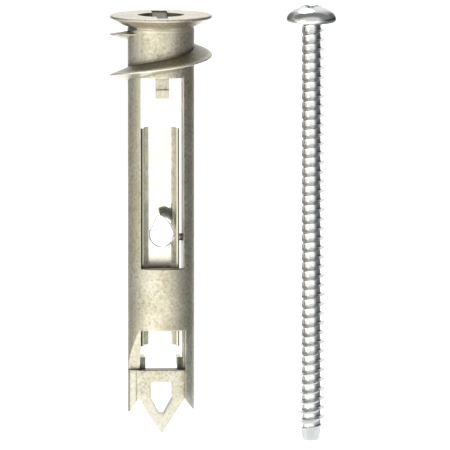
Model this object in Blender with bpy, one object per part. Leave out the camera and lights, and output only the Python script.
"""Self-drilling wall anchor with a swinging toggle and its pan-head screw.

Lengths below are in millimetres and are baked to metres; +Z is up and the front is -Y.
The anchor stands upright at the left (-X), flange at the top and window to the front,
with the toggle inside it. The screw stands to its right, head up and tip at z = 0.
"Depth" is measured down from the top face of the flange.
"""

import math

import bmesh
import bpy
from mathutils import Vector

MM = 0.001

# places of the two axes and of the datum planes
ANCHOR_X = -9.415
SCREW_X = 13.285
FLANGE_Z = 64.90  # top face of the flange
ANCHOR_PLACE = (ANCHOR_X, 0.0, FLANGE_Z)

# anchor body
FLANGE_R = 7.70
NECK_R = 4.93
BODY_R = 5.03
BORE_R = 2.30
BODY_DEPTH = 64.20
SLOT_HALF = 3.235  # half the width of the slot through the tube
WINDOW_TOP, WINDOW_BOTTOM = 9.20, 38.07
BAND_INNER_Y = -3.30  # inner face of the band left below the window
LOWER_TOP = 47.49
BLADE_TOP = 53.90
GROOVE_X, GROOVE_HALF = 4.00, 0.75  # guide grooves for the ears
DRIVE_HALF = 1.05  # half the width of the drive recess arms

# drill tip
BLADE_HALF = 1.20  # half the blade's thickness
PRONG_FACE = 1.50
NOTCH_X, NOTCH_DEPTH = 3.52, 58.15
LEFT_PRONG_DEPTH, RIGHT_PRONG_DEPTH = 60.35, 60.15
POINT_DEPTH = 63.60

# how far the anchor's cutters reach to be clear of it
CLEAR_R = 6.5
CLEAR_TOP = -1
CLEAR_FACES, CLEAR_TIP = 66.0, 67.0

# coarse rib on the anchor; angles in degrees from the front, rising towards +X
THREAD_R = 7.70
THREAD_PITCH = 6.16
THREAD_FRONT_DEPTH = 7.52  # crest depth at the front
THREAD_ROOT_R = 4.50
THREAD_FADED_R = 4.80  # crest radius at the ends, inside the tube wall
THREAD_FIRST, THREAD_LAST, THREAD_STEPS = -140.0, 314.0, 62
THREAD_FADE_IN, THREAD_FADE_OUT = 48.0, 42.0
CREST_HALF = 0.12  # half the height of the crest
UPPER_SPREAD, LOWER_SPREAD = 1.25, 0.85  # flank heights at full rib height
DROOP_START, DROOP_SWEEP, DROOP = 200.0, 70.0, 0.9  # the upper flank flattens here
EASE_START, EASED_RISE = 270.0, 0.30  # past this angle the rib climbs more slowly

# toggle
PIVOT_DEPTH = 33.74
PIVOT_Z = FLANGE_Z - PIVOT_DEPTH
TOGGLE_PLACE = (ANCHOR_X, 0.0, PIVOT_Z)
TOGGLE_UP, TOGGLE_DOWN = 16.68, 16.45
TOGGLE_HALF = 2.865
TOGGLE_EDGE_Y = -1.75
TOGGLE_BACK_Y = 0.95
SHEET = 0.45
CORNER_R = 1.46
CORNER_STEPS = 5
EAR_R, EAR_START, EAR_END = 0.55, 2.50, 3.75
EAR_STEPS = 16
HOLE_R = 1.80
LIP_START, LIP_SWEEP, LIP_STEPS = -25.0, 105.0, 10  # degrees from +X towards +Z
LIP_THICK = 0.40

# screw, number 8 x 2-1/2 in, 18 threads per inch
UNDER_HEAD_Z = 63.50
SCREW_PLACE = (SCREW_X, 0.0, UNDER_HEAD_Z)
COLLAR_R = 2.30
MAJOR_R = 2.085
ROOT_R = 1.47
PITCH = 25.4 / 18.0
TURNS = 46
TURN_STEPS = 12
ROD_BOTTOM = -1.5 * PITCH
HEAD_R = 3.83
HEAD_TOP_Z = 66.17

SMOOTH_ANGLE = math.radians(35)

# revolved profiles of the anchor: radius, depth
BODY_PROFILE = [
    (7.55, 0.0), (FLANGE_R, 0.15), (FLANGE_R, 0.45),
    (7.00, 0.80), (6.30, 1.17), (5.55, 1.53),
    (NECK_R, 1.76), (NECK_R, 1.88),
    (BODY_R, 2.12), (BODY_R, BODY_DEPTH),
]
BORE_PROFILE = [(3.30, CLEAR_TOP), (3.30, 0.35), (BORE_R, 1.60), (BORE_R, 9.70)]

# block cuts in the anchor: name, x range from its axis, y range, depth range
BLOCK_CUTS = [
    # through the tube from the rear up to the front band, then the window above the band
    ("cut_slot", (-SLOT_HALF, SLOT_HALF), (BAND_INNER_Y, CLEAR_R), (WINDOW_TOP, 52.20)),
    ("cut_window", (-SLOT_HALF, SLOT_HALF), (-CLEAR_R, 0.0), (WINDOW_TOP, WINDOW_BOTTOM)),
    ("cut_lower_window", (-3.28, 3.55), (-CLEAR_R, 0.80), (LOWER_TOP, BLADE_TOP)),
    ("cut_rear_gap", (-2.35, 2.45), (0.20, CLEAR_R), (51.35, BLADE_TOP)),
    ("cut_ear_grooves", (-GROOVE_X, GROOVE_X), (-GROOVE_HALF, GROOVE_HALF), (10.40, 34.60)),
]

# left or front half of each drive recess arm: offset along the arm, depth
LONG_ARM = [(-6.1, CLEAR_TOP), (-6.1, 0.30), (-3.3, 0.95), (-2.1, 2.6)]
SHORT_ARM = [(-4.0, CLEAR_TOP), (-4.0, 0.30), (-3.2, 0.85), (-2.2, 2.6)]

# flute above the blade: distance in y from the axis, depth
FLUTE = [
    (4.30, 47.10), (3.61, 47.75), (2.94, 49.20), (1.99, 50.85),
    (1.14, 52.35), (0.70, 53.85), (CLEAR_R, 53.85), (CLEAR_R, 47.10),
]
# what is cut off below the tip: x from the axis, depth
TIP_OUTLINE = [
    (-CLEAR_R, LEFT_PRONG_DEPTH), (-BODY_R, LEFT_PRONG_DEPTH),
    (-NOTCH_X, NOTCH_DEPTH), (0.0, POINT_DEPTH), (NOTCH_X, NOTCH_DEPTH),
    (BODY_R, RIGHT_PRONG_DEPTH), (CLEAR_R, RIGHT_PRONG_DEPTH),
    (CLEAR_R, CLEAR_TIP), (-CLEAR_R, CLEAR_TIP),
]
# hole through the blade: x from the axis, depth
BLADE_HOLE = [
    (-1.60, 55.74), (1.60, 55.74), (1.60, 58.31),
    (0.35, 60.60), (-0.35, 60.60), (-1.60, 58.31),
]
# tongue on the front wall at the top of the window: y, depth
TONGUE = [
    (-4.35, 8.2), (-4.35, 10.85), (-4.75, 10.95),
    (-4.75, 12.25), (-3.30, 12.25), (-3.30, 8.2),
]

# one turn of the screw thread: radius, height
THREAD_PROFILE = [(ROOT_R, 0.0), (MAJOR_R, 0.34), (MAJOR_R, 0.44), (ROOT_R, 0.78)]
# limits of the screw, with a blunt, slightly tapered tip: radius, z
SCREW_ENVELOPE = [(1.15, 0), (1.35, 0.15), (1.60, 1.6), (2.5, 3.4), (2.5, 65.0)]
# pan head: radius, z; the last two points run the thread out under it
HEAD_PROFILE = [
    (0.40, HEAD_TOP_Z), (1.20, 66.13), (2.37, 65.85), (3.20, 65.35), (3.60, 64.95),
    (HEAD_R, 64.45), (HEAD_R, 64.10), (3.65, 63.72), (3.30, UNDER_HEAD_Z),
    (COLLAR_R, UNDER_HEAD_Z), (2.14, 63.10),
]
# each arm of the cross recess, floor then top: z, half length, half width
RECESS_LEVELS = [(64.25, 1.00, 0.40), (66.60, 2.30, 0.56)]


def clear():
    for obj in list(bpy.data.objects):
        bpy.data.objects.remove(obj, do_unlink=True)


def material(name, colour, roughness, metallic):
    mat = bpy.data.materials.new(name)
    mat.use_nodes = True
    bsdf = mat.node_tree.nodes["Principled BSDF"]
    bsdf.inputs["Base Color"].default_value = (*colour, 1.0)
    bsdf.inputs["Roughness"].default_value = roughness
    bsdf.inputs["Metallic"].default_value = metallic
    mat.diffuse_color = (*colour, 1.0)
    return mat


# ---- objects ----

def make_object(name, place, mat, build, *shape):
    """Object with its origin at place; build(bm, *shape) draws it in scene millimetres.

    Without a material it is a hidden helper for a boolean.
    """
    bm = bmesh.new()
    build(bm, *shape)
    for vert in bm.verts:
        vert.co = (vert.co - Vector(place)) * MM
    bmesh.ops.recalc_face_normals(bm, faces=bm.faces)
    mesh = bpy.data.meshes.new(name)
    bm.to_mesh(mesh)
    bm.free()
    obj = bpy.data.objects.new(name, mesh)
    obj.location = Vector(place) * MM
    bpy.context.scene.collection.objects.link(obj)
    if mat:
        mesh.materials.append(mat)
    else:
        obj.hide_render = True
        obj.display_type = "WIRE"
    return obj


def combine(target, place, operation, modifier_name, helper_name, build, *shape):
    """Adds a boolean to target with a new helper drawn by build(bm, *shape)."""
    mod = target.modifiers.new(modifier_name, "BOOLEAN")
    mod.operation = operation
    mod.solver = "EXACT"
    mod.object = make_object(helper_name, place, None, build, *shape)


# ---- solids ----

def bridge(bm, rings):
    """Quads between each closed ring of vertices and the next."""
    for lower, upper in zip(rings, rings[1:]):
        for k in range(len(lower)):
            n = (k + 1) % len(lower)
            bm.faces.new((lower[k], upper[k], upper[n], lower[n]))


def cap(bm, first, last):
    bm.faces.new(first)
    bm.faces.new(list(reversed(last)))


def add_rings(bm, sections):
    return [[bm.verts.new(point) for point in section] for section in sections]


def loft(bm, sections):
    """Closed solid through a row of sections."""
    rings = add_rings(bm, sections)
    bridge(bm, rings)
    cap(bm, rings[0], rings[-1])


def frustum(bm, start, end):
    """Closed solid between two outlines."""
    rings = add_rings(bm, (start, end))
    cap(bm, *rings)
    bridge(bm, rings)


def revolve(bm, profile, steps, centre_x, phase=0.0):
    """Solid of revolution about a vertical axis; profile is (radius, z), phase is in steps."""
    angles = [2 * math.pi * (k + phase) / steps for k in range(steps)]
    loft(bm, [
        [(centre_x + r * math.cos(a), r * math.sin(a), z) for a in angles]
        for r, z in profile
    ])


def prism(bm, outline, lo, hi, along):
    """Prism along an axis; outline is in the two other axes, in x, y, z order."""

    def section(w):
        if along == "x":
            return [(w, u, v) for u, v in outline]
        if along == "y":
            return [(u, w, v) for u, v in outline]
        return [(u, v, w) for u, v in outline]

    frustum(bm, section(lo), section(hi))


def at_depth(outline):
    """Turns (across, depth) points into (across, z)."""
    return [(across, FLANGE_Z - depth) for across, depth in outline]


def anchor_prism(bm, outline, lo, hi, along):
    """Prism along x or y, its (across, depth) outline and ends given from the anchor's axis."""
    if along == "x":
        prism(bm, at_depth(outline), ANCHOR_X + lo, ANCHOR_X + hi, "x")
    else:
        shifted = [(ANCHOR_X + x, depth) for x, depth in outline]
        prism(bm, at_depth(shifted), lo, hi, "y")


def block(bm, x, y, depth):
    """Box with ranges in x from the anchor's axis, y, and depth."""
    x0, x1 = ANCHOR_X + x[0], ANCHOR_X + x[1]
    outline = [(x0, y[0]), (x1, y[0]), (x1, y[1]), (x0, y[1])]
    prism(bm, outline, FLANGE_Z - depth[1], FLANGE_Z - depth[0], "z")


def side_range(side, near, far):
    """Range between two offsets, mirrored where side is -1."""
    return sorted((side * near, side * far))


def mirrored(half):
    """The points, then their mirror images in reverse order."""
    return half + [(-u, v) for u, v in reversed(half)]


def smoothstep(t):
    t = min(1.0, max(0.0, t))
    return t * t * (3 - 2 * t)


# ---- anchor ----

def anchor_thread(bm):
    """One coarse right-hand rib, 1.26 turns, faired into the tube at both ends."""
    sections = []
    for k in range(THREAD_STEPS + 1):
        deg = THREAD_FIRST + (THREAD_LAST - THREAD_FIRST) * k / THREAD_STEPS
        angle = math.radians(deg)
        depth = THREAD_FRONT_DEPTH - THREAD_PITCH * min(deg, EASE_START) / 360.0
        depth -= EASED_RISE * THREAD_PITCH * max(0.0, deg - EASE_START) / 360.0
        crest_z = FLANGE_Z - depth
        grow = min(
            smoothstep((deg - THREAD_FIRST) / THREAD_FADE_IN),
            smoothstep((THREAD_LAST - deg) / THREAD_FADE_OUT),
        )
        crest_r = THREAD_FADED_R + (THREAD_R - THREAD_FADED_R) * grow
        fullness = (crest_r - THREAD_ROOT_R) / (THREAD_R - THREAD_ROOT_R)
        droop = 1.0 - DROOP * smoothstep((deg - DROOP_START) / DROOP_SWEEP)
        section = (
            (THREAD_ROOT_R, CREST_HALF + UPPER_SPREAD * droop * fullness),
            (crest_r, CREST_HALF),
            (crest_r, -CREST_HALF),
            (THREAD_ROOT_R, -(CREST_HALF + LOWER_SPREAD * fullness)),
        )
        sections.append([
            (ANCHOR_X + r * math.sin(angle), -r * math.cos(angle), crest_z + dz)
            for r, dz in section
        ])
    loft(bm, sections)


def drive_cuts():
    """Screw bore with its countersink, then the two arms of the drive recess."""
    return [
        ("cut_bore", revolve, at_depth(BORE_PROFILE), 32, ANCHOR_X, 0.5),
        ("cut_drive_long", anchor_prism, mirrored(LONG_ARM), -DRIVE_HALF, DRIVE_HALF, "x"),
        ("cut_drive_short", anchor_prism, mirrored(SHORT_ARM), -DRIVE_HALF, DRIVE_HALF, "y"),
    ]


def tip_cuts():
    """Faces and flutes, each pair alike under a half turn, then the outline and the hole."""
    cuts = []
    for side in (-1, 1):
        flute = [(side * y, depth) for y, depth in FLUTE]
        cuts += [
            ("cut_blade_face", block, side_range(side, 3.90, -3.55),
             side_range(side, BLADE_HALF, CLEAR_R), (53.70, CLEAR_FACES)),
            ("cut_prong_face", block, side_range(side, 3.80, CLEAR_R),
             side_range(side, PRONG_FACE, CLEAR_R), (53.65, CLEAR_FACES)),
            ("cut_flute", anchor_prism, flute, *side_range(side, 3.20, CLEAR_R), "x"),
        ]
    for name, outline in (("cut_tip_outline", TIP_OUTLINE), ("cut_blade_hole", BLADE_HOLE)):
        cuts.append((name, anchor_prism, outline, -CLEAR_R, CLEAR_R, "y"))
    return cuts


def make_anchor(mat):
    place = ANCHOR_PLACE
    anchor = make_object(
        "anchor_body", place, mat, revolve, at_depth(BODY_PROFILE), 56, ANCHOR_X
    )
    combine(anchor, place, "UNION", "thread", "cut_thread_rib", anchor_thread)
    blocks = [(name, block, *ranges) for name, *ranges in BLOCK_CUTS]
    for k, (name, build, *shape) in enumerate(blocks + drive_cuts() + tip_cuts()):
        combine(anchor, place, "DIFFERENCE", f"cut_{k:02d}", name, build, *shape)
    # after the cuts, so that the window leaves it whole
    combine(anchor, place, "UNION", "tongue", "cut_tongue",
            anchor_prism, TONGUE, -1.0, 1.0, "x")
    return anchor


# ---- toggle ----

def toggle_channel(bm):
    """Folded sheet: web at the back, both flanges pointing to the front."""
    centre_x, centre_y = TOGGLE_HALF - CORNER_R, TOGGLE_BACK_Y - CORNER_R

    def skin(r):
        half = [(centre_x + r, TOGGLE_EDGE_Y)]
        for k in range(CORNER_STEPS + 1):
            a = math.pi / 2 * k / CORNER_STEPS
            half.append((centre_x + r * math.cos(a), centre_y + r * math.sin(a)))
        return mirrored(half)

    section = skin(CORNER_R) + list(reversed(skin(CORNER_R - SHEET)))
    outline = [(ANCHOR_X + x, y) for x, y in section]
    prism(bm, outline, PIVOT_Z - TOGGLE_DOWN, PIVOT_Z + TOGGLE_UP, "z")


def toggle_hole(bm):
    """Teardrop hole: an arc closed by two points above it."""
    angles = [math.radians(deg) for deg in range(-215, 36, 10)]
    teardrop = [(HOLE_R * math.cos(a), HOLE_R * math.sin(a)) for a in angles]
    teardrop += [(0.15, 3.25), (-0.45, 3.20)]
    prism(bm, [(ANCHOR_X + x, PIVOT_Z + z) for x, z in teardrop], -0.40, 2.0, "y")


def toggle_ears(bm):
    """Stub ears, one on each flange."""
    angles = [2 * math.pi * k / EAR_STEPS for k in range(EAR_STEPS)]
    circle = [(EAR_R * math.cos(a), PIVOT_Z + EAR_R * math.sin(a)) for a in angles]
    for side in (-1, 1):
        lo, hi = side_range(side, EAR_START, EAR_END)
        prism(bm, circle, ANCHOR_X + lo, ANCHOR_X + hi, "x")


def toggle_lip(bm):
    """Helical lip at the upper right of the hole, lifted to the front and widening upwards."""
    sections = []
    for k in range(LIP_STEPS + 1):
        t = k / LIP_STEPS
        a = math.radians(LIP_START + LIP_SWEEP * t)
        inner_r = HOLE_R + 0.06 + 0.25 * t
        outer_r = HOLE_R + 0.66 + 0.85 * t
        inner_y = 0.62 - 1.35 * smoothstep(t)
        outer_y = inner_y + 0.10 * t
        section = (
            (inner_r, inner_y), (outer_r, outer_y),
            (outer_r, outer_y + LIP_THICK), (inner_r, inner_y + LIP_THICK),
        )
        sections.append([
            (ANCHOR_X + r * math.cos(a), y, PIVOT_Z + r * math.sin(a)) for r, y in section
        ])
    loft(bm, sections)


def make_toggle(mat):
    place = TOGGLE_PLACE
    toggle = make_object("toggle", place, mat, toggle_channel)
    combine(toggle, place, "DIFFERENCE", "screw_hole", "cut_toggle_hole", toggle_hole)
    combine(toggle, place, "UNION", "ears", "cut_ears", toggle_ears)
    combine(toggle, place, "UNION", "lip", "cut_lip", toggle_lip)
    return toggle


# ---- screw ----

def threaded_rod(bm):
    """Helical rod; a root strip joins each turn to the next, so the skin is closed."""
    n = TURN_STEPS
    end = TURNS * n
    grid = []
    for i in range(end + 1):
        a = 2 * math.pi * i / n
        z = ROD_BOTTOM + PITCH * i / n
        grid.append([
            bm.verts.new((SCREW_X + r * math.cos(a), r * math.sin(a), z + dz))
            for r, dz in THREAD_PROFILE
        ])
    for i in range(end):
        here, ahead = grid[i], grid[i + 1]
        for j in range(3):
            bm.faces.new((here[j], ahead[j], ahead[j + 1], here[j + 1]))
        if i + n < end:
            bm.faces.new((here[3], ahead[3], grid[i + 1 + n][0], grid[i + n][0]))
    # each open end is closed by a fan to a point on the axis
    low = [grid[i][0] for i in range(n + 1)] + [grid[0][j] for j in (3, 2, 1)]
    high = [grid[i][3] for i in range(end - n, end + 1)] + [grid[end][j] for j in (2, 1, 0)]
    bottom = bm.verts.new((SCREW_X, 0.0, ROD_BOTTOM - 0.3))
    top = bm.verts.new((SCREW_X, 0.0, ROD_BOTTOM + TURNS * PITCH + 1.2))
    for loop, apex in ((low, bottom), (high, top)):
        for p, q in zip(loop, loop[1:] + loop[:1]):
            bm.faces.new((p, q, apex))


def recess_arm(bm, along):
    """Tapered arm of the cross recess, along x or y."""
    sections = []
    for z, length, width in RECESS_LEVELS:
        corners = [(-length, -width), (length, -width), (length, width), (-length, width)]
        if along == "y":
            corners = [(-v, u) for u, v in corners]
        sections.append([(SCREW_X + x, y, z) for x, y in corners])
    frustum(bm, *sections)


def make_screw(mat):
    place = SCREW_PLACE
    screw = make_object("screw", place, mat, threaded_rod)
    combine(screw, place, "INTERSECT", "tip", "cut_screw_envelope",
            revolve, SCREW_ENVELOPE, 24, SCREW_X)
    combine(screw, place, "UNION", "head", "cut_screw_head",
            revolve, HEAD_PROFILE, 40, SCREW_X)
    for along in ("x", "y"):
        combine(screw, place, "DIFFERENCE", f"recess_{along}", f"cut_recess_{along}",
                recess_arm, along)
    return screw


def main():
    clear()
    cast = material("cast_zinc", colour=(0.62, 0.60, 0.53), roughness=0.50, metallic=0.85)
    plate = material("zinc_plate", colour=(0.80, 0.81, 0.82), roughness=0.18, metallic=1.0)
    bright = material("screw_plate", colour=(0.82, 0.83, 0.84), roughness=0.16, metallic=1.0)
    parts = [make_anchor(cast), make_toggle(plate), make_screw(bright)]
    bpy.context.view_layer.update()
    for obj in parts:
        obj.data.shade_smooth()
        obj.data.set_sharp_from_angle(angle=SMOOTH_ANGLE)


main()
